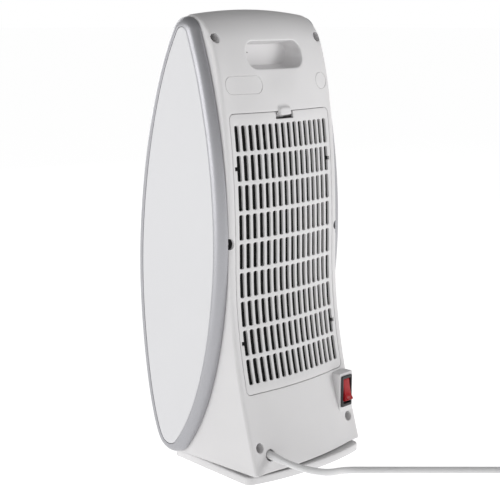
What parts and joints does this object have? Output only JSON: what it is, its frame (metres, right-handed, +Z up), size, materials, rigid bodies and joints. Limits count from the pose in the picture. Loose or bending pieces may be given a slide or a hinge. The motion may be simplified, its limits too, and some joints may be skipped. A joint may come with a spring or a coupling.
{
  "type": "ceramic space heater",
  "caption": "Tower ceramic fan heater with silver side rims, slotted rear filter cover with a latch, recessed carry handle, red rocker switch, oscillating body on a turntable base, mains lead.",
  "frame": {"origin": "floor level, under the middle of the heater's bounding box, measured without the mains lead, its coil and its plug", "axes": "+Z up along the tower; the hot-air outlet faces -Y, the filter cover, handle and switch face +Y; +X is the side of the cord exit"},
  "size_m": [0.2462, 0.4154, 0.432],
  "materials": {
    "shell": "light warm-grey moulded ABS, fine satin texture",
    "silver": "silver metallic paint on moulded plastic, satin gloss",
    "panel_white": "off-white smooth semi-gloss plastic",
    "filter_mesh": "grey woven nylon dust mesh",
    "grille_grey": "dark grey moulded plastic",
    "lens_black": "smoked black gloss window",
    "button_grey": "silver-grey satin keycaps",
    "circuit_board": "green glass-fibre board",
    "dark_plastic": "black glass-filled moulding",
    "steel": "zinc-plated steel",
    "bronze": "sintered bronze",
    "mica_brown": "heat-resistant mica and phenolic frame",
    "ceramic_fins": "aluminium fins on ceramic heating stones",
    "black_plastic": "black moulded plastic",
    "rocker_red": "glossy translucent red key",
    "acetal": "natural acetal",
    "rubber_black": "soft black rubber",
    "cord_grey": "light grey flexible PVC"
  },
  "bodies": {
    "housing": {"rear_housing": "shell", "front_housing": "shell", "side_trim_left": "silver", "side_trim_right": "silver", "side_panel_left": "panel_white", "side_panel_right": "panel_white", "outlet_grille": "grille_grey", "control_fascia": "silver", "display_lens": "lens_black", "control_board": "circuit_board", "scroll_housing": "dark_plastic", "blower_motor": "steel", "top_bearing": "bronze", "heater_frame": "mica_brown", "ptc_core_1": "ceramic_fins", "ptc_core_2": "ceramic_fins", "ptc_core_3": "ceramic_fins", "thermal_cutout": "steel", "power_board": "circuit_board", "tilt_sensor": "black_plastic", "oscillation_motor": "steel", "switch_body": "black_plastic", "screw_top_left": "steel", "screw_top_right": "steel", "screw_bottom_left": "steel", "screw_bottom_right": "steel", "cord_gland": "cord_grey", "power_cord": "cord_grey", "cord_coil": "cord_grey", "cord_tail": "cord_grey", "plug_body": "cord_grey", "plug_pin_1": "steel", "plug_pin_2": "steel"},
    "base": {"base_plate": "shell", "base_ballast": "steel", "swivel_washer": "acetal", "turntable_ring": "acetal", "drive_arm": "acetal", "foot_1": "rubber_black", "foot_2": "rubber_black", "foot_3": "rubber_black", "foot_4": "rubber_black"},
    "crank": {"oscillation_crank": "acetal"},
    "wheel": {"blower_wheel": "dark_plastic", "wheel_shaft": "steel"},
    "rocker": {"rocker_key": "rocker_red"},
    "power_button": {"button_power": "button_grey"},
    "heat_button": {"button_heat": "button_grey"},
    "swing_button": {"button_swing": "button_grey"},
    "timer_button": {"button_timer": "button_grey"},
    "cover": {"filter_cover": "shell", "dust_filter": "filter_mesh"},
    "latch": {"cover_latch": "shell"}
  },
  "joints": [
    {"name": "base_turn", "type": "hinge", "parent": "housing", "child": "base", "pos_m": [0, 0.0148, 0], "axis": [0, 0, 1], "range_deg": [-25, 35]},
    {"name": "crank_turn", "type": "hinge", "parent": "housing", "child": "crank", "pos_m": [0, -0.0152, 0], "axis": [0, 0, 1], "range_deg": [-101, 141]},
    {"name": "wheel_spin", "type": "hinge", "parent": "housing", "child": "wheel", "pos_m": [0, -0.004, 0], "axis": [0, 0, 1], "continuous": true},
    {"name": "rocker_tilt", "type": "hinge", "parent": "housing", "child": "rocker", "pos_m": [-0.0608, 0.0623, 0.0613], "axis": [-1, 0, 0], "range_deg": [0, 10]},
    {"name": "power_button_press", "type": "slide", "parent": "housing", "child": "power_button", "axis": [0, 0.9641, -0.2656], "range_m": [0, 0.0012], "stiffness_N_per_m": 800, "springref_m": -0.0006},
    {"name": "heat_button_press", "type": "slide", "parent": "housing", "child": "heat_button", "axis": [0, 0.9641, -0.2656], "range_m": [0, 0.0012], "stiffness_N_per_m": 800, "springref_m": -0.0006},
    {"name": "swing_button_press", "type": "slide", "parent": "housing", "child": "swing_button", "axis": [0, 0.9641, -0.2656], "range_m": [0, 0.0012], "stiffness_N_per_m": 800, "springref_m": -0.0006},
    {"name": "timer_button_press", "type": "slide", "parent": "housing", "child": "timer_button", "axis": [0, 0.9641, -0.2656], "range_m": [0, 0.0012], "stiffness_N_per_m": 800, "springref_m": -0.0006},
    {"name": "cover_swing", "type": "hinge", "parent": "housing", "child": "cover", "pos_m": [0, 0.0581, 0.0823], "axis": [-1, 0, 0], "range_deg": [0, 35]},
    {"name": "latch_slide", "type": "slide", "parent": "cover", "child": "latch", "axis": [0, 0.1502, -0.9887], "range_m": [0, 0.0028], "stiffness_N_per_m": 400, "springref_m": -0.001}
  ],
  "couplings": [
    {"joint": "crank_turn", "follows": "base_turn", "ratio": 4}
  ]
}
